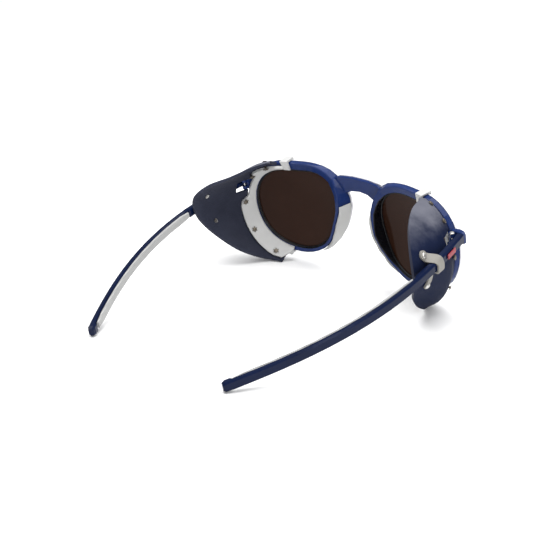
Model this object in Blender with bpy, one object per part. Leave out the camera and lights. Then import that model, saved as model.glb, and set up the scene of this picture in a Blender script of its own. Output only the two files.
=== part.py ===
"""Glacier glasses: round dark lenses in a two-layer front, folding temples
and leather side shields that are riveted to a holder behind each rim.

Everything is drawn in millimetres in the wearing frame: +X is the wearer's
left, the front faces -Y, the temples run along +Y and +Z is up.  Meshes are
written in metres, and one empty tips the glasses onto their rims and temple
tips, as they stand on a table.
"""
import bpy
import bmesh
from math import cos, pi, radians, sin
from mathutils import Matrix, Vector

MM = 0.001
GAP = 0.3                      # clearance kept between neighbouring parts

# lens opening: centre, face-form wrap, pantoscopic tilt and its round outline
LENS_CENTRE = (37.05, 3.43, -0.04)
WRAP = radians(11.25)
TILT = radians(6.0)
OPENING_RADIUS = 22.9
OPENING_WAVES = ((2, 1.36, -0.41), (3, 0.29, 1.18), (4, -0.60, -0.21))
BASE_CURVE = 88.0              # sphere radius of the lens
RIM_STEPS = 44

# front rim: angle, width at the rear, flare toward the front, and how far it
# is built up behind the lens to bear on the nose
RIM = (
    (0, 4.3, 0.5, 0), (30, 4.6, 0.5, 0), (60, 4.2, 0.2, 0), (90, 4.0, 0.2, 0),
    (115, 4.0, 0.2, 0), (137, 4.1, 1.3, 0.8), (152, 2.9, 3.0, 2.8), (168, 2.1, 5.3, 4.3),
    (190, 1.5, 4.8, 5.4), (205, 1.5, 3.8, 4.2), (220, 1.8, 2.1, 2.2), (237, 2.2, 0.5, 0.3),
    (285, 2.6, 0.2, 0), (310, 3.2, 0.3, 0), (335, 3.9, 0.4, 0), (360, 4.3, 0.5, 0),
)
FRAME_DEPTH = 2.8
LAYER_DEPTH = 1.0
FRONT_DEPTH = FRAME_DEPTH + GAP + LAYER_DEPTH
LIP = 0.8                      # rear lip that holds the lens
LENS_THICKNESS = FRAME_DEPTH - LIP - GAP
LENS_OVERLAP = 1.0             # how far the lens reaches into the rim
PAD_TOP, PAD_BOTTOM = 168, 240  # rim angles that the nose pad covers

# bridge sections: x, underside z, top z, then front y and rear y of each layer
BRIDGE = ((0, 13.6, 20.4, -2.0, 0.0, -3.3, -2.3),
          (5, 13.0, 20.5, -1.7, 0.2, -3.0, -2.0),
          (9, 11.2, 20.5, -0.65, 0.7, -2.3, -1.3),
          (12.2, 10.4, 20.0, -0.65, 1.0, -2.4, -1.5),
          (13.4, 13.5, 19.2, -0.7, 1.0, -2.4, -1.5),
          (15.0, 16.3, 17.9, -0.9, 1.1, -2.4, -1.5))

# end piece that carries the hinge: x, front y, rear y, half height
END_PIECE = ((61.3, 9.6, 10.9, 2.1), (62.8, 9.9, 12.6, 2.9),
             (63.8, 9.9, 12.6, 3.1), (65.6, 9.5, 12.6, 3.1),
             (67.9, 10.0, 12.6, 2.9), (69.2, 10.9, 12.6, 2.4))
END_PIECE_Z = 11.2

# hinge
HINGE = Vector((64.3, 14.3, 11.2))
KNUCKLE_RADIUS = 1.3
BORE_RADIUS = 0.75
SHANK_RADIUS = 0.45
KNUCKLE_HALF = 2.5             # half the height of the whole barrel
MIDDLE_HALF = 0.7              # half the height of the middle knuckle
LEAF_THICKNESS = 1.0
LEAF_START = 61.8              # inner end of the leaf on the front
LEAF_LENGTH = 10.0             # length of the leaf on the temple

# temple centre line, x and z against y / 100
TEMPLE_X = (65.49, 15.08, 5.55, -35.61, 10.92)
TEMPLE_Z = (11.71, -0.42, -7.36, 2.08)
TEMPLE_START = 12.9
TEMPLE_END = 141.5
TEMPLE_HALF_WIDTH = 1.75
TEMPLE_HALF_HEIGHT = 2.35
LINER_START = 50.0
LINER_END = 137.5
LINER_RECESS = 1.0
PAD_THICKNESS = 1.1            # of the nose pads and the temple liners

# side shield: a conical plastic holder behind the rim, then leather
HOLDER_TOP = 74.0
HOLDER_BOTTOM = -80.0
HOLDER_REACH = ((-80, 0.28), (-70, 0.9), (-60, 1.0), (4, 1.0), (13, 0.42),
                (33, 0.42), (40, 0.85), (55, 0.62), (74, 0.28))
HOLDER_SLOPE = 4.8             # how far the holder rises over its full reach
LEATHER = 1.3
SHIELD_EDGE = (                # free edge: rim angle it belongs to, x, y, z
    (68, 46.2, 11.6, 25.2), (52, 49.3, 22.2, 26.1), (38, 54.6, 32.0, 24.6),
    (27, 61.5, 41.3, 22.8), (19, 66.5, 47.3, 17.9), (8, 67.1, 47.8, 9.9),
    (-6, 64.5, 45.5, 2.2), (-24, 59.2, 40.3, -7.2), (-41, 55.2, 33.8, -15.5),
    (-57, 51.8, 25.0, -23.3), (-66, 48.6, 20.3, -26.1), (-69, 46.8, 19.1, -26.3),
)
SHIELD_STEPS = 30              # rows of the leather along the rim
SHIELD_SHARES = (0.0, 0.13, 0.27, 0.45, 0.63, 0.82, 1.0)
SLOT = (7.3, 15.0)             # heights left open for hinge and temple
FOLD_RADIUS = 21.1             # the leather parts here when the temple folds
FOLD_GAP = 0.5
WING_ANGLE = radians(22.5)     # furthest the wing reaches round the hinge
WING_BOTTOM = -9.5

HOLDER_RIVETS = ((57.5, "upper_1"), (37.5, "upper_2"), (5.5, "lower_1"),
                 (-27.0, "lower_2"), (-62.0, "lower_3"))
STRAP_RIVETS = ((19.3, 0.80, "upper"), (-5.0, 0.78, "lower"))
STRAP_WIDTH = 4.2
STRAP_THICKNESS = 1.0
BADGE_Y = (22.0, 25.3, 28.6)

REST_PITCH = radians(-12.7)
REST_OFFSET = Vector((0, -68.27, 30.923))

COLOURS = {                    # colour, roughness, metallic
    "blue_acetate": ((0.030, 0.045, 0.210), 0.18, 0.0),
    "white_layer": ((0.80, 0.80, 0.82), 0.35, 0.0),
    "brown_lens": ((0.022, 0.009, 0.006), 0.06, 0.0),
    "grey_rubber": ((0.56, 0.56, 0.54), 0.60, 0.0),
    "holder_plastic": ((0.66, 0.66, 0.64), 0.45, 0.0),
    "navy_leather": ((0.022, 0.026, 0.050), 0.55, 0.0),
    "strap_leather": ((0.52, 0.49, 0.44), 0.60, 0.0),
    "steel": ((0.62, 0.62, 0.62), 0.30, 1.0),
    "red_badge": ((0.55, 0.03, 0.05), 0.40, 0.0),
}


# ---------------------------------------------------------------- helpers
def material(name):
    if name in bpy.data.materials:
        return bpy.data.materials[name]
    colour, roughness, metallic = COLOURS[name]
    mat = bpy.data.materials.new(name)
    mat.use_nodes = True
    shader = mat.node_tree.nodes["Principled BSDF"]
    shader.inputs["Base Color"].default_value = (*colour, 1.0)
    shader.inputs["Roughness"].default_value = roughness
    shader.inputs["Metallic"].default_value = metallic
    return mat


def raw_mesh(points, faces):
    """Mesh in metres from points in millimetres, faces turned outward."""
    mesh = bpy.data.meshes.new("mesh")
    mesh.from_pydata([Vector(p) * MM for p in points], [], faces)
    bm = bmesh.new()
    bm.from_mesh(mesh)
    bmesh.ops.recalc_face_normals(bm, faces=bm.faces)
    bm.to_mesh(mesh)
    bm.free()
    return mesh


def tube(sections, closed=False, capped=True):
    """Loft through equal rings of points."""
    n, m = len(sections), len(sections[0])
    points = [p for ring in sections for p in ring]
    faces = []
    for i in range(n if closed else n - 1):
        a, b = i * m, (i + 1) % n * m
        faces += [(a + k, a + (k + 1) % m, b + (k + 1) % m, b + k) for k in range(m)]
    if capped and not closed:
        faces += [tuple(range(m)), tuple(range((n - 1) * m, n * m))]
    return raw_mesh(points, faces)


def boolean(mesh, other, operation):
    """Exact boolean of two meshes; the second one is used up."""
    a = bpy.data.objects.new("work", mesh)
    b = bpy.data.objects.new("cutter", other)
    for ob in (a, b):
        bpy.context.scene.collection.objects.link(ob)
    mod = a.modifiers.new("boolean", "BOOLEAN")
    mod.object, mod.operation, mod.solver = b, operation, "EXACT"
    graph = bpy.context.evaluated_depsgraph_get()
    result = bpy.data.meshes.new_from_object(a.evaluated_get(graph))
    for ob in (a, b):
        bpy.data.objects.remove(ob)
    for old in (mesh, other):
        bpy.data.meshes.remove(old)
    return result


def add(name, mesh, colour, parent, origin=Vector((0, 0, 0)), sharp=35):
    """Link a mesh as a named part; its origin goes to the given point."""
    mesh.transform(Matrix.Translation(-origin * MM))
    bm = bmesh.new()
    bm.from_mesh(mesh)
    bmesh.ops.remove_doubles(bm, verts=bm.verts, dist=1e-8)
    bmesh.ops.triangulate(bm, faces=[f for f in bm.faces if len(f.verts) > 4])
    bm.to_mesh(mesh)
    bm.free()
    mesh.name = name
    mesh.materials.clear()
    mesh.materials.append(material(colour))
    for poly in mesh.polygons:
        poly.use_smooth = True
    mesh.set_sharp_from_angle(angle=radians(sharp))
    ob = bpy.data.objects.new(name, mesh)
    bpy.context.scene.collection.objects.link(ob)
    ob.parent = parent
    return ob


def empty(name, parent=None, location=(0, 0, 0)):
    ob = bpy.data.objects.new(name, None)
    ob.empty_display_size = 0.01
    ob.parent = parent
    ob.location = Vector(location) * MM
    bpy.context.scene.collection.objects.link(ob)
    return ob


def mirrored(mesh):
    """Copy of a mesh on the wearer's other side."""
    copy = mesh.copy()
    copy.transform(Matrix.Scale(-1, 4, (1, 0, 0)))
    copy.flip_normals()
    return copy


def mirror_side(root, pivot, other_pivot):
    """Make the right-hand twin of every left-hand part."""
    for parent, twin in ((root, root), (pivot, other_pivot)):
        for ob in [ob for ob in parent.children if ob.type == "MESH"]:
            if not ob.name.startswith("left_"):
                continue
            name = ob.name.replace("left_", "right_")
            copy = bpy.data.objects.new(name, mirrored(ob.data))
            copy.data.name = name
            bpy.context.scene.collection.objects.link(copy)
            copy.parent = twin
            copy.location = (-ob.location.x, ob.location.y, ob.location.z)
            copy.rotation_mode = "QUATERNION"
            turn = ob.rotation_quaternion
            copy.rotation_quaternion = (turn.w, turn.x, -turn.y, -turn.z)


def between(table, x):
    """Smooth interpolation in a table sorted by its first column."""
    for low, high in zip(table, table[1:]):
        if x <= high[0]:
            t = max(0.0, (x - low[0]) / (high[0] - low[0]))
            t = t * t * (3 - 2 * t)
            return [p + (q - p) * t for p, q in zip(low[1:], high[1:])]
    return list(table[-1][1:])


def box(low, high):
    (x0, y0, z0), (x1, y1, z1) = low, high
    ring = [(x0, y0), (x1, y0), (x1, y1), (x0, y1)]
    return tube([[(x, y, z) for x, y in ring] for z in (z0, z1)])


def cylinder(centre, radius, z0, z1, steps=48):
    ring = [(centre[0] + radius * cos(2 * pi * k / steps),
             centre[1] + radius * sin(2 * pi * k / steps)) for k in range(steps)]
    return tube([[(x, y, z) for x, y in ring] for z in (z0, z1)])


def lathe(profile, steps=20):
    """Solid turned about Z from (radius, z) pairs, bottom to top."""
    return tube([[(r * cos(2 * pi * k / steps), r * sin(2 * pi * k / steps), z)
                  for k in range(steps)] for r, z in profile])


def chamfered(a0, a1, b0, b1, c):
    """Rectangle with cut corners as (a, b) pairs."""
    return [(a0 + c, b0), (a1 - c, b0), (a1, b0 + c), (a1, b1 - c),
            (a1 - c, b1), (a0 + c, b1), (a0, b1 - c), (a0, b0 + c)]


# ---------------------------------------------------------------- lens frame
def opening(angle):
    """Radius of the lens opening at an angle: 0 temporal, 90 degrees up."""
    return OPENING_RADIUS + sum(c * cos(k * angle) + s * sin(k * angle)
                                for k, c, s in OPENING_WAVES)


def lens_point(angle, radius, back):
    """Point at a radius in the lens frame, `back` mm behind the rim's rear."""
    u, v = radius * cos(angle), radius * sin(angle)
    w = radius * radius / (2 * BASE_CURVE) + back
    x = LENS_CENTRE[0] + u * cos(WRAP) - w * sin(WRAP)
    y = LENS_CENTRE[1] + u * sin(WRAP) + w * cos(WRAP) - v * sin(TILT)
    return Vector((x, y, LENS_CENTRE[2] + v * cos(TILT)))


def rim_point(degrees, out, back):
    angle = radians(degrees)
    return lens_point(angle, opening(angle) + out, back)


def ring(section):
    """Closed loft round the opening; section(degrees) gives (out, back)."""
    steps = [360 * k / RIM_STEPS for k in range(RIM_STEPS)]
    return tube([[rim_point(a, *p) for p in section(a)] for a in steps],
                closed=True)


def arc(section, start, end, steps):
    angles = [start + (end - start) * k / steps for k in range(steps + 1)]
    return tube([[rim_point(a, *p) for p in section(a)] for a in angles])


def rim_edge(degrees, back):
    """Outer edge of the rim at a depth; it flares evenly from rear to front."""
    w, flare, rise = between(RIM, degrees % 360)
    return w + flare * (rise - back) / (FRONT_DEPTH + rise)


def frame_section(degrees):
    w, _, rise = between(RIM, degrees % 360)
    floor = LENS_OVERLAP + GAP
    return [(0, rise - 0.3), (0.3, rise), (w - 0.9, rise), (w - 0.25, rise - 0.3),
            (w, rise - 0.9), (rim_edge(degrees, -FRAME_DEPTH), -FRAME_DEPTH),
            (floor, -FRAME_DEPTH), (floor, -LIP), (0, -LIP)]


def layer_section(degrees):
    rear = -(FRAME_DEPTH + GAP)
    edge = rim_edge(degrees, -FRONT_DEPTH)
    return [(0.3, rear), (rim_edge(degrees, rear), rear), (edge, 0.3 - FRONT_DEPTH),
            (edge - 0.3, -FRONT_DEPTH), (0.6, -FRONT_DEPTH), (0.3, 0.3 - FRONT_DEPTH)]


def bridge(first):
    """Bar between the rims; first is the column of its front y."""
    rows = [(-x, *rest) for x, *rest in reversed(BRIDGE[1:])] + list(BRIDGE)
    return tube([[(row[0], y, z) for y, z in chamfered(
        row[first], row[first + 1], row[1], row[2], 0.3)] for row in rows])


def end_piece():
    return tube([[(x, y, z) for y, z in chamfered(
        y0, y1, END_PIECE_Z - h, END_PIECE_Z + h, 0.4)] for x, y0, y1, h in END_PIECE])


def front(root):
    half = boolean(ring(frame_section), end_piece(), "UNION")
    other = mirrored(half)
    frame = boolean(boolean(half, bridge(3), "UNION"), other, "UNION")
    add("front_frame", frame, "blue_acetate", root)

    half = ring(layer_section)
    other = mirrored(half)
    layer = boolean(boolean(half, bridge(5), "UNION"), other, "UNION")
    add("front_face_layer", layer, "white_layer", root)


def lens(root):
    shares = (1.0, 0.75, 0.4, 0.1)
    rows = []
    for back in (-LIP - GAP, -LIP - GAP - LENS_THICKNESS):
        loops = [[lens_point(2 * pi * k / RIM_STEPS, share * (
            opening(2 * pi * k / RIM_STEPS) + LENS_OVERLAP), back)
            for k in range(RIM_STEPS)] for share in shares]
        rows.append(loops)
    mesh = tube(list(reversed(rows[0])) + rows[1])
    add("left_lens", mesh, "brown_lens", root, sharp=30)


def nose_pad(root):
    """Soft liner on the flank that bears on the nose."""
    def section(degrees):
        w, _, rise = between(RIM, degrees)
        rear = Vector((w, rise - 0.9))
        flank = Vector((rim_edge(degrees, 0.2 - FRAME_DEPTH), 0.2 - FRAME_DEPTH)) - rear
        length = flank.length
        flank.normalize()
        out = Vector((-flank.y, flank.x))
        thick = PAD_THICKNESS * min(1.0, 0.35 + min(degrees - PAD_TOP, PAD_BOTTOM - degrees) / 12)
        outline = ((0, 0), (length, 0), (length, 0.6 * thick), (length - 0.5, thick),
                   (0.8, thick), (0.2, 0.8 * thick), (0, 0.5 * thick))
        return [rear + flank * along + out * (GAP + height) for along, height in outline]
    mesh = arc(section, PAD_TOP, PAD_BOTTOM, 16)
    add("left_nose_pad", mesh, "grey_rubber", root)


# ---------------------------------------------------------------- side shield
def holder_section(degrees):
    reach, = between(HOLDER_REACH, degrees)
    rise = HOLDER_SLOPE * reach
    tip = (0.4 + rise, 1.1 + rise)
    return [(0.4, 0.4), (0.4, 1.1), tip, (tip[0] + 0.98, tip[1] - 0.98), (2.4, 0.4)]


def clip(start, end):
    """Hook that grips the rim from behind, over its edge and in front."""
    def section(degrees):
        edge = rim_edge(degrees, -FRONT_DEPTH) + GAP
        near, far = GAP + 0.1, -(FRONT_DEPTH + GAP)
        return [(0.4, near), (edge, near), (edge, far), (edge - 1.6, far),
                (edge - 1.6, far - 0.8), (edge + 1.0, far - 0.8),
                (edge + 1.0, near + 1.0), (0.4, near + 1.0)]
    return arc(section, start, end, 3)


def rivet_axis(degrees):
    """Point on the holder's inner face and the direction out of it."""
    inner = rim_point(degrees, 3.8, 4.5)
    return inner, (rim_point(degrees, 5.8, 2.5) - inner).normalized()


def edge_point(degrees):
    """Smooth curve through the free edge of the leather."""
    rows = list(reversed(SHIELD_EDGE))
    for i in range(len(rows) - 1):
        if degrees <= rows[i + 1][0] or i == len(rows) - 2:
            break
    p = [Vector(rows[max(0, min(len(rows) - 1, i + k))][1:]) for k in (-1, 0, 1, 2)]
    t = (degrees - rows[i][0]) / (rows[i + 1][0] - rows[i][0])
    return p[1] + 0.5 * t * (p[2] - p[0] + t * (
        2 * p[0] - 5 * p[1] + 4 * p[2] - p[3] + t * (3 * (p[1] - p[2]) + p[3] - p[0])))


def shield_point(degrees, share):
    """Leather's middle surface: share 0 at the rim end, 1 at the free edge."""
    start = rim_point(degrees, 4.44, 1.17)
    lip = rim_point(degrees, 7.0, 4.23)
    slope = (lip - start).normalized()
    along = (lip - start).length
    end = edge_point(degrees)
    total = along + (end - lip).length
    if share * total <= along:
        return start + slope * share * total
    t = (share * total - along) / (total - along)
    reach = end - lip
    lead = slope * reach.length * 0.4
    return lip + lead * (t - 2 * t * t + t ** 3) + reach * (3 * t * t - 2 * t ** 3) \
        + reach * (t ** 3 - t * t)


def shield_shell():
    """The whole leather as one closed sheet."""
    top, bottom = SHIELD_EDGE[0][0], SHIELD_EDGE[-1][0]
    angles = [top + (bottom - top) * k / SHIELD_STEPS for k in range(SHIELD_STEPS + 1)]
    grid = [[shield_point(a, s) for s in SHIELD_SHARES] for a in angles]
    n, m = len(grid), len(SHIELD_SHARES)
    outer, inner = [], []
    for i in range(n):
        for j in range(m):
            across = grid[min(i + 1, n - 1)][j] - grid[max(i - 1, 0)][j]
            down = grid[i][min(j + 1, m - 1)] - grid[i][max(j - 1, 0)]
            normal = across.cross(down).normalized() * LEATHER / 2
            outer.append(grid[i][j] + normal)
            inner.append(grid[i][j] - normal)
    size = n * m
    quads = [(i * m + j, i * m + j + 1, (i + 1) * m + j + 1, (i + 1) * m + j)
             for i in range(n - 1) for j in range(m - 1)]
    faces = quads + [tuple(size + v for v in reversed(q)) for q in quads]
    rim = ([i * m for i in range(n)] + [(n - 1) * m + j for j in range(1, m)]
           + [i * m + m - 1 for i in range(n - 2, -1, -1)] + list(range(m - 2, 0, -1)))
    faces += [(a, b, b + size, a + size) for a, b in zip(rim, rim[1:] + rim[:1])]
    return raw_mesh(outer + inner, faces)


def drill(mesh, point, axis, radius=0.8, length=12.0):
    """Round hole through a mesh along an axis."""
    tool = lathe([(radius, -length / 2), (radius, length / 2)], steps=12)
    turn = axis.to_track_quat("Z", "Y").to_matrix().to_4x4()
    tool.transform(Matrix.Translation(point * MM) @ turn)
    return boolean(mesh, tool, "DIFFERENCE")


def rivet(name, point, axis, grip, parent, origin=Vector((0, 0, 0))):
    """Tubular rivet: a domed head outside and a rolled end inside."""
    shape = [(0.7, -GAP - 0.5), (1.05, -GAP), (0.5, -GAP), (0.5, grip + GAP),
             (1.3, grip + GAP), (0.8, grip + GAP + 0.6)]
    ob = add(name, lathe(shape, steps=10), "steel", parent)
    ob.location = (point - origin) * MM
    ob.rotation_mode = "QUATERNION"
    ob.rotation_quaternion = axis.to_track_quat("Z", "Y")
    return ob


def shield_on_front(root):
    """Holder, the leather next to it and the rivets through both."""
    holder = arc(holder_section, HOLDER_BOTTOM, HOLDER_TOP, 34)
    for start, end in ((HOLDER_TOP - 1, HOLDER_TOP + 8), (HOLDER_BOTTOM, HOLDER_BOTTOM + 7)):
        holder = boolean(holder, clip(start, end), "UNION")
    upper = boolean(shield_shell(), cylinder(HINGE, FOLD_RADIUS, SLOT[1], 40), "INTERSECT")
    lower = boolean(shield_shell(), cylinder(HINGE, FOLD_RADIUS, -40, SLOT[0]), "INTERSECT")
    for degrees, word in HOLDER_RIVETS:
        point, axis = rivet_axis(degrees)
        holder = drill(holder, point, axis)
        if word.startswith("upper"):
            upper = drill(upper, point, axis)
        else:
            lower = drill(lower, point, axis)
        rivet(f"left_holder_rivet_{word}", point, axis, 3.4, root)
    add("left_shield_holder", holder, "holder_plastic", root)
    add("left_shield_upper", upper, "navy_leather", root)
    add("left_shield_lower", lower, "navy_leather", root)


def wing_mesh():
    """The rear of the leather, which the strap carries with the temple."""
    mesh = boolean(shield_shell(), cylinder(HINGE, FOLD_RADIUS + FOLD_GAP, -60, 60),
                   "DIFFERENCE")
    far = 60.0
    wedge = [(HINGE.x + 20, HINGE.y), (HINGE.x, HINGE.y),
             (HINGE.x - far * sin(WING_ANGLE), HINGE.y + far * cos(WING_ANGLE)),
             (HINGE.x + 20, HINGE.y + far)]
    keep = tube([[(x, y, z) for x, y in wedge] for z in (WING_BOTTOM, 60)])
    return boolean(mesh, keep, "INTERSECT")


def shield_frame_at(degrees, share):
    """Point on the leather and its outward direction."""
    point = shield_point(degrees, share)
    across = shield_point(degrees - 1, share) - shield_point(degrees + 1, share)
    down = shield_point(degrees, share + 0.02) - point
    return point, across.cross(down).normalized()


# ---------------------------------------------------------------- temples
def temple_centre(y):
    q = y / 100
    return Vector((sum(c * q ** k for k, c in enumerate(TEMPLE_X)), y,
                   sum(c * q ** k for k, c in enumerate(TEMPLE_Z))))


def temple_side(y):
    """Outward direction of the temple in plan."""
    step = temple_centre(y + 0.5) - temple_centre(y - 0.5)
    return Vector((step.y, -step.x, 0)).normalized()


def temple_ring(y, inner, outer, low, high, corner):
    centre, out = temple_centre(y), temple_side(y)
    return [centre + out * a + Vector((0, 0, b))
            for a, b in chamfered(-inner, outer, low, high, corner)]


def temple_mesh():
    hw, hh = TEMPLE_HALF_WIDTH, TEMPLE_HALF_HEIGHT
    recess = hw - LINER_RECESS
    rows = [(TEMPLE_START, hw, hw, hh, 0.5)]
    rows += [(y, hw, hw, hh, 0.8) for y in (16, 22, 28, 34, 40, LINER_START - 1)]
    rows += [(LINER_START + (LINER_END - LINER_START) * k / 14, recess, hw, hh, 0.7)
             for k in range(15)]
    rows += [(LINER_END + 0.8, hw, hw, hh, 0.8), (TEMPLE_END - 1.2, hw, hw, hh, 0.8),
             (TEMPLE_END, hw - 0.5, hw - 0.5, hh - 0.5, 0.8)]
    return tube([temple_ring(y, inner, outer, -h, h, c) for y, inner, outer, h, c in rows])


def pad_mesh():
    """Soft liner on the inner face, a little proud of the temple."""
    near = TEMPLE_HALF_WIDTH - LINER_RECESS + GAP
    start, end = LINER_START + 0.8, LINER_END - 0.5
    rows = [start + (end - start) * k / 16 for k in range(17)]
    rings = []
    for k, y in enumerate(rows):
        h = TEMPLE_HALF_HEIGHT - (0.9 if k in (0, len(rows) - 1) else 0.3)
        rings.append(temple_ring(y, near + PAD_THICKNESS, -near, -h, h, 0.35))
    return tube(rings)


def leaf_mesh(plate, knuckles):
    """Flat plate with knuckles; both halves of the barrel share one bore."""
    mesh = plate
    for z0, z1 in knuckles:
        mesh = boolean(mesh, cylinder(HINGE, KNUCKLE_RADIUS, z0, z1, 20), "UNION")
    return boolean(mesh, cylinder(HINGE, BORE_RADIUS, 0, 30, 16), "DIFFERENCE")


def hinge(root, pivot):
    z, half, mid = HINGE.z, KNUCKLE_HALF, MIDDLE_HALF
    rear = END_PIECE[-1][2] + GAP
    plate = box((LEAF_START, rear, z - half), (HINGE.x, rear + LEAF_THICKNESS, z + half))
    relief = cylinder(HINGE, KNUCKLE_RADIUS + GAP, z - mid - GAP, z + mid + GAP, 20)
    plate = boolean(plate, relief, "DIFFERENCE")
    ends = ((z - half, z - mid - GAP), (z + mid + GAP, z + half))
    add("left_hinge_front_leaf", leaf_mesh(plate, ends), "blue_acetate", root)

    face = temple_centre(16).x - TEMPLE_HALF_WIDTH - GAP
    plate = box((face - LEAF_THICKNESS, HINGE.y + KNUCKLE_RADIUS + 0.4, z - half + GAP),
                (face, HINGE.y + LEAF_LENGTH, z + half - GAP))
    tongue = box((face - LEAF_THICKNESS, HINGE.y, z - mid), (face, HINGE.y + 3, z + mid))
    plate = boolean(plate, tongue, "UNION")
    mesh = leaf_mesh(plate, ((z - mid, z + mid),))
    add("left_hinge_temple_leaf", mesh, "blue_acetate", pivot, HINGE)

    top = half + GAP
    screw = lathe([(0.8, -top - 0.6), (1.0, -top), (SHANK_RADIUS, -top), (SHANK_RADIUS, top),
                   (1.1, top), (1.1, top + 0.35), (0.8, top + 0.6)])
    ob = add("left_hinge_screw", screw, "steel", root)
    ob.location = HINGE * MM


def strap_path(upper, lower):
    """Middle line from one rivet over the temple, round it and to the other."""
    (above, out_above), (below, out_below) = upper, lower
    lift = LEATHER / 2 + GAP + 0.05 + STRAP_THICKNESS / 2
    a, b = above + out_above * lift, below + out_below * lift
    up = Vector((0, 0, 1))
    rise_a = (up - out_above * out_above.z).normalized()
    rise_b = (up - out_below * out_below.z).normalized()
    centre = temple_centre(a.y - 2)
    w, h = TEMPLE_HALF_WIDTH + GAP + 0.55, TEMPLE_HALF_HEIGHT + GAP + 0.6

    def at(x, y, z):
        return centre + Vector((x, y, z))
    return [a + rise_a * 2.2, a, a - rise_a * 1.9, at(-2.4, 1.2, h + 0.5),
            at(w - 1.0, 0.5, h), at(w - 0.1, 0.1, h - 0.9), at(w, 0, 0),
            at(w - 0.1, 0.1, 0.9 - h), at(w - 1.0, 0.4, -h), at(-2.4, 0.9, -h - 0.9),
            b + rise_b * 1.9, b, b - rise_b * 2.0]


def strap_mesh(upper, lower):
    path = strap_path(upper, lower)
    rings = []
    for k, p in enumerate(path):
        run = (path[min(k + 1, len(path) - 1)] - path[max(k - 1, 0)]).normalized()
        wide = Vector((0, 1, 0)) - run * run.y
        wide = wide.normalized() * STRAP_WIDTH / 2
        thick = run.cross(wide).normalized() * STRAP_THICKNESS / 2
        if k in (0, len(path) - 1):
            wide = wide * 0.55
        rings.append([p + wide + thick, p - wide + thick, p - wide - thick, p + wide - thick])
    return tube(rings)


def temple(pivot):
    """Everything that swings with one temple."""
    add("left_temple", temple_mesh(), "blue_acetate", pivot, HINGE)
    add("left_temple_pad", pad_mesh(), "grey_rubber", pivot, HINGE)
    spots = [shield_frame_at(degrees, share) for degrees, share, _ in STRAP_RIVETS]
    wing, strap = wing_mesh(), strap_mesh(*spots)
    for (point, axis), (_, _, word) in zip(spots, STRAP_RIVETS):
        wing, strap = drill(wing, point, axis, length=7), drill(strap, point, axis, length=7)
        inner = point - axis * LEATHER / 2
        rivet(f"left_strap_rivet_{word}", inner, axis,
              LEATHER + GAP + STRAP_THICKNESS + 0.1, pivot, HINGE)
    add("left_shield_wing", wing, "navy_leather", pivot, HINGE)
    add("left_strap", strap, "strap_leather", pivot, HINGE)
    face = TEMPLE_HALF_WIDTH + GAP
    badge = tube([temple_ring(y, -face, face + 0.4, -1.2, 1.2, 0.15) for y in BADGE_Y])
    add("left_badge", badge, "red_badge", pivot, HINGE)


def build():
    for ob in list(bpy.data.objects):
        bpy.data.objects.remove(ob)
    root = empty("glasses")
    front(root)
    pivot = empty("left_hinge_axis", root, HINGE)
    other_pivot = empty("right_hinge_axis", root, (-HINGE.x, HINGE.y, HINGE.z))
    lens(root)
    nose_pad(root)
    shield_on_front(root)
    hinge(root, pivot)
    temple(pivot)
    mirror_side(root, pivot, other_pivot)
    root.rotation_euler = (REST_PITCH, 0, 0)
    root.location = REST_OFFSET * MM
    bpy.context.view_layer.update()


build()
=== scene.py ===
# %% [markdown]
# # Glacier glasses
# Round dark lenses sit in a two-layer front, two temples fold on small
# screws, and leather shields keep light out at the sides. The imported model
# already gives every hard piece its size and place. This lesson adds what the
# eye and the hand would notice next: supple leather, straps, eyelets and a
# finish for every material. The model is loaded first. Nothing made here may
# change the size of the object.

# %% Load the frame
import bpy
from math import atan2, cos, degrees, hypot, pi, radians, sin
from mathutils import Matrix, Quaternion, Vector


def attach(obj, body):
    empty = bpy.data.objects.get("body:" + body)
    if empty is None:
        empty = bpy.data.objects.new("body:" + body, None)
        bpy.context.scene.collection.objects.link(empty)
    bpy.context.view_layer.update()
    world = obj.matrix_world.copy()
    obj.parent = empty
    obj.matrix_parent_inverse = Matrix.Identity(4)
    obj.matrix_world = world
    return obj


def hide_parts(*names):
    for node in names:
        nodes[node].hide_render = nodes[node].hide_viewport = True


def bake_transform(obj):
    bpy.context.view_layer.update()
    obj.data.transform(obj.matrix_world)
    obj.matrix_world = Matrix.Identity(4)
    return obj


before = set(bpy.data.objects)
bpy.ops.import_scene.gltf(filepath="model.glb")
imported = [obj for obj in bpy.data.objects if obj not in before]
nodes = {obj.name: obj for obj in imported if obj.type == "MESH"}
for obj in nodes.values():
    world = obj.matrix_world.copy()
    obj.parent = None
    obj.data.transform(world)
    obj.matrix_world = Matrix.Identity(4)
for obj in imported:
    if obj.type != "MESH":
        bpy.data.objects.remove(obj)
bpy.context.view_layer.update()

SIDES = (("left", 1), ("right", -1))

# %% [markdown]
# ## One frame to think in
# Eyewear is drawn as it is worn: x across the face, y from the lenses back
# along the temples, z up, all in millimetres. On the table the glasses lean
# forward a little, so one matrix takes the drawing to the table, in metres.
# A shape for the right side uses the same numbers with x turned round.

# %% From the wearing frame to the table
MM = 0.001
TABLE = (Matrix.Translation(Vector((0, -68.27, 30.923)) * MM)
         @ Matrix.Rotation(radians(-12.7), 4, "X") @ Matrix.Scale(MM, 4))


def place(point, side=1):
    x, y, z = point
    return TABLE @ Vector((x * side, y, z))


HINGE = Vector((64.3, 14.3, 11.2))
print("left hinge on the table:", [round(v, 4) for v in place(HINGE)])

# %% [markdown]
# ## Camera
# A product picture of eyewear is taken from behind one shoulder, a little
# above, with a long lens so that the temples don't flare. The camera is
# placed in the room and turned to look along one direction, and a last small
# turn about its own axis levels the picture.

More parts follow.
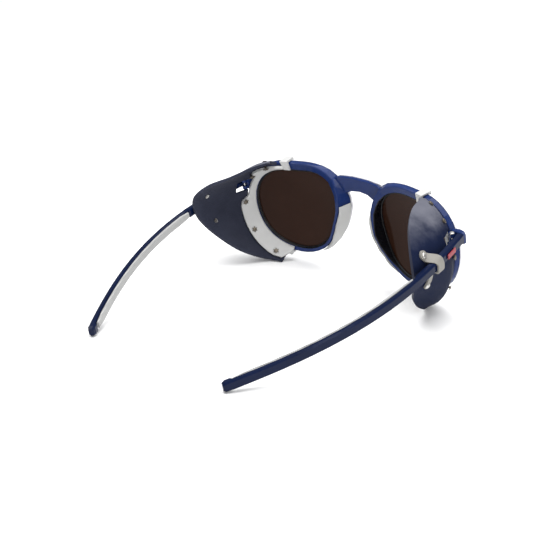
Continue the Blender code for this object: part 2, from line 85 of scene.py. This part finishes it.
# %% Camera
bpy.ops.object.select_all(action="DESELECT")
bpy.ops.object.camera_add(location=(-0.35443, 0.37832, 0.21620))
camera = bpy.context.object
look = Vector((0.6348, -0.6866, -0.3544))
camera.rotation_mode = "QUATERNION"
camera.rotation_quaternion = (look.to_track_quat("-Z", "Y")
                              @ Quaternion((0, 0, 1), radians(-0.2)))
camera.data.lens = 79.88
camera.data.sensor_width = 36
camera.data.clip_start = 0.01
bpy.context.scene.camera = camera
print("camera looks along", [round(v, 3) for v in look])

# %% [markdown]
# ## Light and floor
# Glossy acetate and dark lenses show whatever is around them, so the room is
# plain and dim. One very large lamp overhead lights the pale floor evenly, and
# a smaller one at the shoulder draws long highlights along the temples.

# %% Light and floor
bpy.context.scene.view_settings.view_transform = "Standard"
world = bpy.data.worlds.new("dim room")
bpy.context.scene.world = world
world.use_nodes = True
world.node_tree.nodes["Background"].inputs["Color"].default_value = (1, 1, 1, 1)
world.node_tree.nodes["Background"].inputs["Strength"].default_value = 0.42


def soft_lamp(name, location, target, size, power):
    bpy.ops.object.light_add(type="AREA", location=location)
    lamp = bpy.context.object
    lamp.name = name
    lamp.data.shape = "DISK"
    lamp.data.size, lamp.data.energy = size, power
    aim = Vector(target) - Vector(location)
    lamp.rotation_euler = aim.to_track_quat("-Z", "Y").to_euler()


soft_lamp("large lamp overhead", (0, 0, 1.2), (0, 0, 0), 1.7, 30.0)
soft_lamp("lamp at the shoulder", (-0.65, 0.15, 0.45), (0, 0, 0.02), 0.4, 2.0)
bpy.ops.mesh.primitive_plane_add(size=6, location=(0, 0, -0.0006))
floor = bpy.context.object
floor.name = "floor"

# %% [markdown]
# ## A small language for finishes
# A finish is a little graph of shader nodes. Written out node by node it is
# long and hard to read, so one small class wraps a socket. Sums on it add
# Math nodes by themselves, and its method `node` adds any other node.

# %% The socket class
class Wire:
    """A shader socket that can be used in Python sums."""

    def __init__(self, tree, socket=None):
        self.tree, self.socket = tree, socket

    def node(self, kind, settings=None, inputs=None, out=0):
        made = self.tree.nodes.new("ShaderNode" + kind)
        for key, value in (settings or {}).items():
            setattr(made, key, value)
        for key, value in (inputs or {}).items():
            if isinstance(value, Wire):
                self.tree.links.new(value.socket, made.inputs[key])
            else:
                made.inputs[key].default_value = value
        return Wire(self.tree, made.outputs[out])

    def math(self, operation, *values):
        return self.node("Math", {"operation": operation}, dict(enumerate(values)))

    def __add__(self, other):
        return self.math("ADD", self, other)

    def __sub__(self, other):
        return self.math("SUBTRACT", self, other)

    def __rsub__(self, other):
        return self.math("SUBTRACT", other, self)

    def __mul__(self, other):
        return self.math("MULTIPLY", self, other)

    __radd__, __rmul__ = __add__, __mul__

    def mix(self, low, high):
        """Colour that goes from low to high as this value goes from 0 to 1."""
        return self.node("Mix", {"data_type": "RGBA"}, {0: self, 6: low, 7: high}, 2)


print("sums and mixes now read like Python")

# %% [markdown]
# ## Finishes start from one maker
# Each finish is a Principled shader. What is the same all over is set on the
# shader itself. What changes over the surface, such as colour, roughness or
# the grain that a bump gives, is a wire into it.

# %% A maker of finishes
FINISHES = {}


def finish(name, colour, roughness, bump=None, depth=0.0001, **fixed):
    """Material from a colour, a roughness and a height, each a value or wire."""
    material = FINISHES[name]
    shader = material.node_tree.nodes["Principled BSDF"]
    wire = Wire(material.node_tree)
    values = {"Base Color": colour, "Roughness": roughness}
    if bump is not None:
        values["Normal"] = wire.node("Bump", None, {"Height": bump, "Distance": depth,
                                                    "Strength": 1.0})
    for key, value in values.items():
        if isinstance(value, Wire):
            material.node_tree.links.new(value.socket, shader.inputs[key])
        else:
            shader.inputs[key].default_value = value
    for key, value in fixed.items():
        shader.inputs[key.replace("_", " ")].default_value = value


def begin(name):
    """New material and the wire that its graph grows from."""
    material = bpy.data.materials.new(name)
    material.use_nodes = True
    FINISHES[name] = material
    return Wire(material.node_tree)


def noise(wire, scale, detail=3.0, roughness=0.5, stretch=(1, 1, 1)):
    """Noise from 0 to 1 on the piece's own coordinates; scale is per metre."""
    where = wire.node("TexCoord", out=3)
    where = wire.node("Mapping", None, {0: where, "Scale": stretch})
    return wire.node("TexNoise", None, {0: where, "Scale": scale, "Detail": detail,
                                        "Roughness": roughness})


def rgb(red, green, blue):
    return (red, green, blue, 1.0)


# %% [markdown]
# ## Acetate and laminate
# The front and temples are cut from translucent blue acetate and polished on
# wheels. Light that enters makes its edges bluer than its faces, and the
# polish leaves very fine waves. A layer of opaque white is laminated to the
# face of the front, which is why only its edge shows from behind.

# %% Acetate and white laminate
w = begin("blue acetate")
cloud = noise(w, 60, 2)
fine = noise(w, 900, 3)
finish("blue acetate", cloud.mix(rgb(0.005, 0.015, 0.064), rgb(0.015, 0.032, 0.135)),
       0.12 + 0.10 * fine, noise(w, 350, 2), 0.00002,
       Specular_IOR_Level=0.12, Coat_Weight=0.04, Coat_Roughness=0.05)

w = begin("dark acetate")
cloud = noise(w, 90, 2, stretch=(1, 0.3, 1))
fine = noise(w, 900, 3)
finish("dark acetate", cloud.mix(rgb(0.0015, 0.004, 0.018), rgb(0.005, 0.011, 0.042)),
       0.14 + 0.12 * fine, noise(w, 300, 2), 0.00003,
       Specular_IOR_Level=0.10, Coat_Weight=0.04, Coat_Roughness=0.06)

w = begin("white laminate")
cloud = noise(w, 120, 3)
finish("white laminate", cloud.mix(rgb(0.58, 0.58, 0.62), rgb(0.72, 0.72, 0.74)),
       0.28 + 0.12 * noise(w, 700, 2), noise(w, 500, 2), 0.00002)
print("acetates and laminate:", list(FINISHES))

# %% [markdown]
# ## Lens and painted shade
# A glacier lens lets only a few percent of the light through, so from behind
# it is a nearly black brown. It is ground and polished, so it has almost no
# texture: faint haze in the roughness is enough. The shade on the wall of the
# opening round it is painted in, as a black finish.

# %% Lens
w = begin("brown lens")
haze = noise(w, 40, 2)
finish("brown lens", haze.mix(rgb(0.021, 0.0085, 0.0050), rgb(0.029, 0.0120, 0.0075)),
       0.06 + 0.06 * noise(w, 500, 3), Specular_IOR_Level=0.06)
# Painted shade: a near-black finish for the wall of each opening and for the ring round the
# lens edge.
w = begin("painted shade black")
finish("painted shade black", noise(w, 200, 2).mix(rgb(0.002, 0.002, 0.003), rgb(0.006, 0.006, 0.008)),
       0.22 + 0.15 * noise(w, 800, 2), Specular_IOR_Level=0.25)
print("lens and lining finishes made")

# %% [markdown]
# ## Leather
# The smooth side of the shields faces out: dyed navy, lightly waxed, with a
# fine pebble grain. The inner side is the flesh side, dull and fibrous. Grain
# is two sizes of cell pattern, and the fibres are noise stretched along the
# hide. Near the top the grain side has a cloudy grey painted sheen, for the
# light that gleams on its upper part. The straps are undyed leather of a paler kind.

# %% Leather finishes
def pebbles(wire, scale):
    where = wire.node("TexCoord", out=3)
    return wire.node("TexVoronoi", {"feature": "SMOOTH_F1"},
                     {0: where, "Scale": scale, "Smoothness": 0.6})


w = begin("navy grain leather")
patch = noise(w, 110, 5, 0.6)
grain = pebbles(w, 2600) + 0.5 * pebbles(w, 5200)
# Painted sheen: above a set height the grain side is painted a cloudy grey, for the light that
# gleams on its upper part.
sheen_height = w.node("SeparateXYZ", None, {0: w.node("TexCoord", out=3)}, out=2)
painted_sheen = w.node("MapRange", {"interpolation_type": "SMOOTHSTEP"},
               {0: sheen_height + 0.010 * patch, 1: 0.046, 2: 0.058}) * (0.55 + 0.6 * patch)
hide = patch.mix(rgb(0.003, 0.006, 0.021), rgb(0.009, 0.014, 0.040))
finish("navy grain leather", painted_sheen.mix(hide, rgb(0.125, 0.128, 0.155)),
       0.42 + 0.20 * patch + 0.08 * grain, grain, 0.00006, Specular_IOR_Level=0.05)

w = begin("navy flesh side")
fibre = noise(w, 1500, 5, 0.7, stretch=(1, 0.6, 1))
patch = noise(w, 90, 3)
finish("navy flesh side",
       (0.55 * fibre + 0.45 * patch).mix(rgb(0.006, 0.008, 0.017), rgb(0.038, 0.042, 0.068)),
       0.72 + 0.15 * fibre, fibre, 0.00014, Specular_IOR_Level=0.15,
       Sheen_Weight=0.05, Sheen_Roughness=0.5)

w = begin("strap leather")
grain = pebbles(w, 2200)
patch = noise(w, 160, 4, 0.6)
finish("strap leather",
       (0.7 * patch + 0.3 * grain).mix(rgb(0.150, 0.143, 0.127), rgb(0.270, 0.258, 0.235)),
       0.48 + 0.18 * patch, grain, 0.00005)
print("leathers made")

# %% [markdown]
# ## Grey parts, metal and badge
# The holder behind each rim is moulded in light grey plastic with a satin
# skin. The temple liners are softer, and from their middle on they carry a
# fine crossed rib that grips the hair. Rivets are nickelled, and darker where
# they are burnished round the edge.

# %% Grey plastic, rubber, metal and badge
w = begin("grey holder plastic")
cloud = noise(w, 90, 3)
finish("grey holder plastic", cloud.mix(rgb(0.42, 0.42, 0.415), rgb(0.54, 0.54, 0.535)),
       0.42 + 0.15 * noise(w, 800, 2), noise(w, 1200, 2), 0.00003)

w = begin("nose pad rubber")
finish("nose pad rubber",
       noise(w, 120, 3).mix(rgb(0.33, 0.33, 0.325), rgb(0.43, 0.43, 0.425)),
       0.50 + 0.15 * noise(w, 900, 2), noise(w, 1400, 3), 0.00004)

w = begin("ribbed liner rubber")
where = w.node("TexCoord", out=3)
along = w.node("SeparateXYZ", None, {0: where}, out=1)
height = w.node("SeparateXYZ", None, {0: where}, out=2) + 0.226 * along
rib_relief_and_shade = (w.math("SINE", (along + 0.9 * height) * 4200)
        * w.math("SINE", (along - 0.9 * height) * 4200))
ribbed = w.node("MapRange", {"interpolation_type": "SMOOTHSTEP"},
                {0: along, 1: -0.006, 2: 0.010})
rib_relief_and_shade = 0.5 + 0.5 * rib_relief_and_shade * ribbed
# The rib pattern paints the colour too: the grooves are painted darker as shade and the ridges
# lighter, matching the bump.
finish("ribbed liner rubber", rib_relief_and_shade.mix(rgb(0.24, 0.24, 0.24), rgb(0.45, 0.45, 0.445)),
       0.55 + 0.1 * noise(w, 900, 2), rib_relief_and_shade, 0.00018)

w = begin("brushed nickel")
brush = noise(w, 2500, 2, stretch=(1, 1, 0.15))
finish("brushed nickel", brush.mix(rgb(0.40, 0.39, 0.37), rgb(0.66, 0.65, 0.62)),
       0.24 + 0.2 * brush, brush, 0.00001, Metallic=1.0)

w = begin("burnished metal")
finish("burnished metal", noise(w, 1600, 2).mix(rgb(0.05, 0.045, 0.04), rgb(0.22, 0.19, 0.15)),
       0.36 + 0.2 * noise(w, 3000, 2), Metallic=0.9)

w = begin("red print")
finish("red print", noise(w, 900, 3).mix(rgb(0.17, 0.006, 0.014), rgb(0.30, 0.016, 0.030)),
       0.32 + 0.2 * noise(w, 2500, 2), noise(w, 3000, 2), 0.00002)

w = begin("pale floor")
finish("pale floor", noise(w, 3, 2).mix(rgb(0.93, 0.93, 0.93), rgb(0.95, 0.95, 0.95)),
       0.8 + 0.1 * noise(w, 8, 2))
floor.data.materials.append(FINISHES["pale floor"])
print(len(FINISHES), "finishes")

# %% [markdown]
# ## Finishes on the hard pieces
# The pieces whose shape is already right keep their mesh and only take a
# finish, so this is one table from a piece's name to its material.

# %% Dress the hard pieces
DRESS = {"front_frame": "blue acetate", "front_face_layer": "white laminate",
         "nose_pad": "nose pad rubber",
         "shield_holder": "grey holder plastic", "hinge_front_leaf": "blue acetate",
         "hinge_screw": "brushed nickel", "hinge_temple_leaf": "dark acetate",
         "temple": "dark acetate", "temple_pad": "ribbed liner rubber",
         "badge": "red print"}


def dress(piece, finish_name):
    piece.data.materials.clear()
    piece.data.materials.append(FINISHES[finish_name])


for name, node in nodes.items():
    plain = name.removeprefix("left_").removeprefix("right_")
    if plain in DRESS:
        dress(node, DRESS[plain])
print("dressed", sum(n.removeprefix("left_").removeprefix("right_") in DRESS for n in nodes))

# %% [markdown]
# ## The drawing of the rim
# Leather and eyelets sit on the rim, so its drawing is repeated here: a round
# opening with a few gentle waves, on a plane that is turned to wrap the face
# and tilted toward the cheeks. An angle of 0 is the temple side and 90 is up.

# %% Rim geometry
LENS_CENTRE = (37.05, 3.43, -0.04)
WRAP, TILT, BASE_CURVE = radians(11.25), radians(6.0), 88.0
OPENING_RADIUS = 22.9
OPENING_WAVES = ((2, 1.36, -0.41), (3, 0.29, 1.18), (4, -0.60, -0.21))


def opening(a):
    """Radius of the opening at an angle in radians."""
    return OPENING_RADIUS + sum(c * cos(k * a) + s * sin(k * a) for k, c, s in OPENING_WAVES)


def rim_point(angle, out, back):
    """Point `out` mm outside the opening and `back` mm behind the rim."""
    a = radians(angle)
    r = out + opening(a)
    u, v, depth = r * cos(a), r * sin(a), r * r / (2 * BASE_CURVE) + back
    return Vector((LENS_CENTRE[0] + u * cos(WRAP) - depth * sin(WRAP),
                   LENS_CENTRE[1] + u * sin(WRAP) + depth * cos(WRAP) - v * sin(TILT),
                   LENS_CENTRE[2] + v * cos(TILT)))


print("rim at the temple side:", [round(v, 1) for v in rim_point(0, 0, 0)])

# %% [markdown]
# ## Lens and painted shade ring
# Each lens is a thin shell of a sphere with two parallel faces and a rounded
# edge. A sphere has just that order of faces, so one is flattened: its
# distance from the axis becomes the place across the lens. A ring of painted
# shade is a black torus that is bent round the opening in the same way.

# %% Lens and painted shade ring
LENS_DEPTH, LENS_HALF = -1.95, 0.85    # middle plane behind the rim, half thickness
LENS_OVERLAP = 0.8                     # how far the lens reaches into the rim
RING = 0.25                            # minor radius of the torus before it is bent


def only(piece):
    bpy.ops.object.select_all(action="DESELECT")
    piece.select_set(True)
    bpy.context.view_layer.objects.active = piece


def reform(piece, form, side):
    """Send each point of a piece through form and onto the table."""
    for vertex in piece.data.vertices:
        vertex.co = place(form(*vertex.co), side)
    if side < 0:
        only(piece)
        bpy.ops.object.mode_set(mode="EDIT")
        bpy.ops.mesh.select_all(action="SELECT")
        bpy.ops.mesh.flip_normals()
        bpy.ops.object.mode_set(mode="OBJECT")


def lens_form(x, y, z):
    a, back = atan2(y, x), LENS_DEPTH - LENS_HALF * min(max(4 * z, -1), 1)
    radius = opening(a) + LENS_OVERLAP
    return rim_point(degrees(a), hypot(x, y) * radius - opening(a), back)


def shade_ring_form(x, y, z):
    across, through = (hypot(x, y) - 1) / RING, z / RING
    return rim_point(degrees(atan2(y, x)), -0.36 + 0.34 * across, -0.62 - 0.40 * through)


for word, side in SIDES:
    bpy.ops.object.select_all(action="DESELECT")
    bpy.ops.mesh.primitive_uv_sphere_add(segments=96, ring_count=32, radius=1)
    lens = bpy.context.object
    lens.name = word + "_polished_lens"
    reform(lens, lens_form, side)
    dress(lens, "brown lens")
    # Painted shade ring: a black torus round the lens edge, where the opening lies in shade.
    bpy.ops.mesh.primitive_torus_add(major_segments=96, minor_segments=12,
                                     major_radius=1, minor_radius=RING)
    shade_ring = bpy.context.object
    shade_ring.name = word + "_opening_shade_ring"
    reform(shade_ring, shade_ring_form, side)
    dress(shade_ring, "painted shade black")
    for piece in (lens, shade_ring):
        only(piece)
        bpy.ops.object.shade_smooth()
        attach(piece, "front")
    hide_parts(word + "_lens")
    print(lens.name, len(lens.data.polygons), "faces")

# %% [markdown]
# ## Walls painted with shade
# The wall of each opening is painted black as shade, so the front gets a second
# material. Each face is measured in the plane of its lens, and the faces that
# lie no further out than the opening take the painted shade.

# %% Walls painted with shade
SHADED_WALL_REACH = 0.25              # how far outside the opening a face counts as its wall
frame_piece = nodes["front_frame"]
frame_piece.data.materials.append(FINISHES["painted shade black"])
to_wearing = TABLE.inverted() @ frame_piece.matrix_world
# Faces of the opening's wall take the black of the painted shade.
for face in frame_piece.data.polygons:
    x, y, z = to_wearing @ face.center
    x, v = abs(x) - LENS_CENTRE[0], (z - LENS_CENTRE[2]) / cos(TILT)
    u = x * cos(WRAP) + (y - LENS_CENTRE[1] + v * sin(TILT)) * sin(WRAP)
    if hypot(u, v) < opening(atan2(v, u)) + SHADED_WALL_REACH:
        face.material_index = 1
print("blackened faces:", sum(f.material_index for f in frame_piece.data.polygons))

# %% [markdown]
# ## The drawing of the shield
# The leather leaves the holder along a cone and bends to its free edge, which
# is tall at the top, reaches furthest back at the temple and tapers under the
# lens. Its edge is a handful of points with a smooth curve through them, and
# every other point lies between the rim and that edge.

# %% Shield surface
EDGE = ((68, 46.2, 11.6, 25.2), (52, 49.3, 22.2, 26.1), (38, 54.6, 32.0, 24.6),
        (27, 61.5, 41.3, 22.8), (19, 66.5, 47.3, 17.9), (8, 67.1, 47.8, 9.9),
        (-6, 64.5, 45.5, 2.2), (-24, 59.2, 40.3, -7.2), (-41, 55.2, 33.8, -15.5),
        (-57, 51.8, 25.0, -23.3), (-66, 48.6, 20.3, -26.1), (-73, 44.6, 17.6, -26.8))


def edge_point(degrees):
    """Catmull-Rom curve through the free edge."""
    rows = EDGE[::-1]
    i = max(k for k in range(len(rows) - 1) if k == 0 or degrees >= rows[k][0])
    a, b, c, d = (Vector(rows[min(max(i + k, 0), len(rows) - 1)][1:]) for k in (-1, 0, 1, 2))
    t = (degrees - rows[i][0]) / (rows[i + 1][0] - rows[i][0])
    return b + 0.5 * t * (c - a + t * (2 * a - 5 * b + 4 * c - d
                                       + t * (3 * (b - c) + d - a)))


def shield_point(degrees, share):
    """Middle of the leather: share 0 at the rim, 1 at the free edge."""
    start, lip = rim_point(degrees, 4.44, 1.17), rim_point(degrees, 7.0, 4.23)
    slope, along = (lip - start).normalized(), (lip - start).length
    reach = edge_point(degrees) - lip
    run = share * (along + reach.length)
    if run <= along:
        return start + slope * run
    t = (run - along) / reach.length
    return (lip + slope * reach.length * 0.4 * (t - 2 * t * t + t ** 3)
            + reach * (3 * t * t - 2 * t ** 3) + reach * (t ** 3 - t * t))


def shield_out(degrees, share):
    """Outward direction of the leather at a point."""
    across = shield_point(degrees - 1, share) - shield_point(degrees + 1, share)
    down = shield_point(degrees, share + 0.02) - shield_point(degrees, share - 0.02)
    return across.cross(down).normalized()


print("rearmost leather:", [round(v, 1) for v in edge_point(8)])

# %% [markdown]
# ## Cutting the leather
# On the bench the shield is one flat cut that is damped and pulled over a
# form. A grid does the same job: it starts flat, each of its points goes to
# its place on the form, and Solidify gives it the thickness of the hide, with
# the flesh side as a second material. A box cuts the slot for the hinge.

# %% The leather shields
LEATHER = 1.3
SLOT_LOW, SLOT_HIGH, SLOT_END = 8.2, 14.6, 20.6


def apply_modifier(piece, kind, **settings):
    only(piece)
    modifier = piece.modifiers.new(kind.lower(), kind)
    for key, value in settings.items():
        setattr(modifier, key, value)
    bpy.ops.object.modifier_apply(modifier=modifier.name)


def formed_sheet(name, columns, rows, form, side):
    """Grid whose points go to form(u, v), with u and v from 0 to 1."""
    bpy.ops.object.select_all(action="DESELECT")
    bpy.ops.mesh.primitive_grid_add(x_subdivisions=columns, y_subdivisions=rows, size=2)
    piece = bpy.context.object
    piece.name = name
    reform(piece, lambda x, y, z: form((x + 1) / 2, (y + 1) / 2), side)
    return piece


def block(name, low, high, side):
    """Box between two corners of the wearing frame."""
    bpy.ops.object.select_all(action="DESELECT")
    bpy.ops.mesh.primitive_cube_add(size=1)
    piece = bpy.context.object
    piece.name = name
    reform(piece, lambda *c: [a + (b - a) * (k + 0.5) for a, b, k in zip(low, high, c)], side)
    return piece


def cut_slot(piece, side):
    """Remove the opening that the hinge and temple pass through."""
    low, high = Vector((55, 5, SLOT_LOW)), Vector((75, SLOT_END, SLOT_HIGH))
    tool = block("slot tool", low, high, side)
    apply_modifier(piece, "BOOLEAN", object=tool, operation="DIFFERENCE", solver="EXACT")
    bpy.data.objects.remove(tool)


def shield(word, side):
    top, bottom = EDGE[0][0], EDGE[-1][0]
    piece = formed_sheet(word + "_leather_shield", 110, 44,
                         lambda u, v: shield_point(top + (bottom - top) * u, v), side)
    for finish_name in ("navy grain leather", "navy flesh side"):
        piece.data.materials.append(FINISHES[finish_name])
    area = sum(face.area for face in piece.data.polygons)
    apply_modifier(piece, "SOLIDIFY", thickness=LEATHER * MM, offset=0,
                   material_offset=1, material_offset_rim=1)
    cut_slot(piece, side)
    only(piece)
    bpy.ops.object.shade_smooth_by_angle(angle=radians(40))
    place((66, 20, 11.2), side)
    place((66, 37, 11.2), side)
    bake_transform(piece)
    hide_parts(*(f"{word}_shield_{part}" for part in ("upper", "lower", "wing")))
    return piece, area


for word, side in SIDES:
    piece, area = shield(word, side)
    print(piece.name, len(piece.data.polygons), "faces,", round(area * 1e6), "mm2 of leather")

# %% [markdown]
# ## The strap
# A narrow leather strap ties each shield to its temple. It is riveted above
# the temple, passes over and round it and is riveted again below. Its middle
# line is drawn first, with the way that its outer face turns, and the strap is
# a formed sheet along it with round ends and a narrower lower half.

# %% Temple and strap drawing
TEMPLE_X = (65.49, 15.08, 5.55, -35.61, 10.92)
TEMPLE_Z = (11.71, -0.42, -7.36, 2.08)
STRAP_RIVETS = ((19.3, 0.80), (-5.0, 0.78))
STRAP_WIDTH, STRAP_THICKNESS = 4.2, 0.9


def temple_centre(y):
    q = y / 100
    return Vector((sum(c * q ** k for k, c in enumerate(TEMPLE_X)), y,
                   sum(c * q ** k for k, c in enumerate(TEMPLE_Z))))


def smooth_path(points, t):
    """Catmull-Rom curve through points, t from 0 to 1."""
    t = min(t * (len(points) - 1), len(points) - 1 - 1e-9)
    i = int(t)
    a, b, c, d = (points[min(max(i + k, 0), len(points) - 1)] for k in (-1, 0, 1, 2))
    t -= i
    return b + 0.5 * t * (c - a + t * (2 * a - 5 * b + 4 * c - d
                                       + t * (3 * (b - c) + d - a)))


def strap_line():
    """Middle line and outward direction of the strap, from end to end."""
    lift = LEATHER / 2 + 0.15 + STRAP_THICKNESS / 2
    (a, out_a), (b, out_b) = [
        (shield_point(*spot) + shield_out(*spot) * lift, shield_out(*spot))
        for spot in STRAP_RIVETS]
    centre = temple_centre(a.y - 4.5)
    wide, high = 1.75 + 0.2 + STRAP_THICKNESS / 2, 2.35 + 0.2 + STRAP_THICKNESS / 2
    around = [((wide - 1.3, 0.8, high + 0.1), (0.6, 0.45, 0.8)),
              ((wide, 0.1, 1.2), (1, 0, 0.3)), ((wide, 0, -1.2), (1, 0, -0.3)),
              ((wide - 0.5, 0.2, 0.1 - high), (0.5, 0, -1)), ((-1.2, 0.8, -high), (0, 0, -1))]
    line = [(centre + Vector(spot), Vector(way)) for spot, way in around]

    def along_leather(rivet, out, other):
        run = other - rivet
        return (run - out * run.dot(out)).normalized()
    go_a = along_leather(a, out_a, line[0][0])
    go_b = along_leather(b, out_b, line[-1][0])
    line = ([(a - go_a * 2.3, out_a), (a, out_a), (a + go_a * 2.4, out_a)] + line
            + [(b + go_b * 2.2, out_b), (b, out_b), (b - go_b * 1.8, out_b)])
    return [p for p, _ in line], [way.normalized() for _, way in line]


def strap(word, side):
    line, ways = strap_line()

    def form(u, v):
        step = 0.01
        run = smooth_path(line, min(u + step, 1)) - smooth_path(line, max(u - step, 0))
        across = run.cross(smooth_path(ways, u)).normalized()
        end = min(u, 1 - u) * len(line) / 1.1
        half = STRAP_WIDTH / 2 * (1 - max(0, 1 - end) ** 2) ** 0.5
        taper = 1 - 0.42 * min(max((u - 0.62) / 0.2, 0), 1)
        return smooth_path(line, u) + across * (2 * v - 1) * max(half * taper, 0.4)

    piece = formed_sheet(word + "_leather_strap", 120, 8, form, side)
    piece.data.materials.append(FINISHES["strap leather"])
    apply_modifier(piece, "SOLIDIFY", thickness=STRAP_THICKNESS * MM, offset=0)
    apply_modifier(piece, "BEVEL", width=0.18 * MM, segments=2, limit_method="ANGLE",
                   angle_limit=radians(50))
    bpy.ops.object.shade_smooth_by_angle(angle=radians(50))
    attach(piece, word + "_temple_arm")
    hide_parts(word + "_strap")
    return piece


for word, side in SIDES:
    print(strap(word, side).name)

# %% [markdown]
# ## The short leaf on the temple
# The knuckle of the temple has a plain leaf. Here it is cut short, so that it
# stays inside the slot of the leather.

# %% Temple leaf
for word, side in SIDES:
    leaf = block(word + "_hinge_tongue", (64.75, 14.6, 10.6), (65.75, 19.2, 11.8), side)
    dress(leaf, "dark acetate")
    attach(leaf, word + "_temple_arm")
    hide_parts(word + "_hinge_temple_leaf")
    print(leaf.name)

# %% [markdown]
# ## Eyelets of the holder
# The leather is fixed to the holder by tubular rivets. Outside they have a
# low domed head. Inside, the tube is split and rolled over, which leaves a
# small star. The star is a disc of twelve sides with every second corner
# pulled in and a sunken middle, and the head is turned from a short profile.

# %% Holder eyelets
HOLDER_RIVETS = ((57.5, "upper_1"), (37.5, "upper_2"), (5.5, "lower_1"),
                 (-27.0, "lower_2"), (-62.0, "lower_3"))


def move_to(piece, centre, axis):
    """Put a piece that was made about the origin at its place on the table."""
    turn = axis.to_track_quat("Z", "Y").to_matrix().to_4x4()
    piece.data.transform(Matrix.Translation(centre) @ turn)


def disc(name, sides, radius, low, high):
    bpy.ops.object.select_all(action="DESELECT")
    bpy.ops.mesh.primitive_cylinder_add(vertices=sides, radius=radius * MM,
                                        depth=(high - low) * MM,
                                        location=(0, 0, (high + low) / 2 * MM))
    piece = bpy.context.object
    piece.name = name
    bpy.ops.object.transform_apply(location=True)
    return piece


def sink_face(piece, up, inset, depth):
    """Inset the top or bottom face and push the middle in."""
    only(piece)
    bpy.ops.object.mode_set(mode="EDIT")
    bpy.ops.mesh.select_all(action="DESELECT")
    bpy.ops.object.mode_set(mode="OBJECT")
    for face in piece.data.polygons:
        face.select = face.normal.z * up > 0.9
    bpy.ops.object.mode_set(mode="EDIT")
    bpy.ops.mesh.inset(thickness=inset * MM)
    bpy.ops.transform.translate(value=(0, 0, -up * depth * MM))
    bpy.ops.object.mode_set(mode="OBJECT")


def holder_eyelet(word, side, degrees, tag):
    inner = rim_point(degrees, 3.8, 4.5)
    outer = rim_point(degrees, 5.8, 2.5)
    centre = place(inner, side)
    axis = (place(outer, side) - centre).normalized()
    star = disc(f"{word}_eyelet_{tag}", 12, 1.65, -0.62, -0.30)
    for vertex in star.data.vertices:
        corner = round((pi + Vector((vertex.co.x, vertex.co.y)).angle_signed(
            Vector((0, 1)))) / (2 * pi) * 12)
        if corner % 2:
            vertex.co.x *= 0.52
            vertex.co.y *= 0.52
    sink_face(star, -1, 0.22, -0.12)
    head = disc("head", 24, 1.3, 3.55, 3.75)
    sink_face(head, 1, 0.25, -0.22)
    sink_face(head, 1, 0.35, -0.10)
    shank = disc("shank", 16, 0.55, -0.5, 3.7)
    bpy.ops.object.select_all(action="DESELECT")
    for part in (shank, head, star):
        part.select_set(True)
    bpy.context.view_layer.objects.active = star
    bpy.ops.object.join()
    move_to(star, centre, axis)
    dress(star, "burnished metal")
    bpy.ops.object.shade_smooth_by_angle(angle=radians(35))
    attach(star, "front")
    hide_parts(f"{word}_holder_rivet_{tag}")
    return star


for word, side in SIDES:
    made = [holder_eyelet(word, side, degrees, tag) for degrees, tag in HOLDER_RIVETS]
    print(word, "eyelets:", len(made))

# %% [markdown]
# ## Rivets of the strap
# The two rivets that hold the strap show a round head with a dark ring on the
# outside and a small rolled tube end on the inside. Head, ring and tube are
# turned shapes on one axis.

# %% Strap rivets
def strap_rivet(word, side, degrees, share, tag):
    point, out = shield_point(degrees, share), shield_out(degrees, share)
    centre = place(point, side)
    axis = (place(point + out, side) - centre).normalized()
    top = LEATHER / 2 + 0.15 + STRAP_THICKNESS
    head = disc(f"{word}_rivet_{tag}", 28, 1.35, top, top + 0.25)
    sink_face(head, 1, 0.2, -0.2)
    sink_face(head, 1, 0.3, 0.12)
    sink_face(head, 1, 0.12, -0.12)
    shank = disc("shank", 16, 0.6, -LEATHER / 2 - 0.2, top + 0.1)
    tail = disc("tail", 20, 1.1, -LEATHER / 2 - 0.35, -LEATHER / 2 - 0.05)
    sink_face(tail, -1, 0.25, -0.12)
    sink_face(tail, -1, 0.3, 0.2)
    bpy.ops.object.select_all(action="DESELECT")
    for part in (shank, tail, head):
        part.select_set(True)
    bpy.context.view_layer.objects.active = head
    bpy.ops.object.join()
    move_to(head, centre, axis)
    dress(head, "brushed nickel")
    bpy.ops.object.shade_smooth_by_angle(angle=radians(35))
    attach(head, word + "_temple_arm")
    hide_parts(f"{word}_strap_rivet_{tag}")
    return head


for word, side in SIDES:
    for (degrees, share), tag in zip(STRAP_RIVETS, ("upper", "lower")):
        print(strap_rivet(word, side, degrees, share, tag).name)
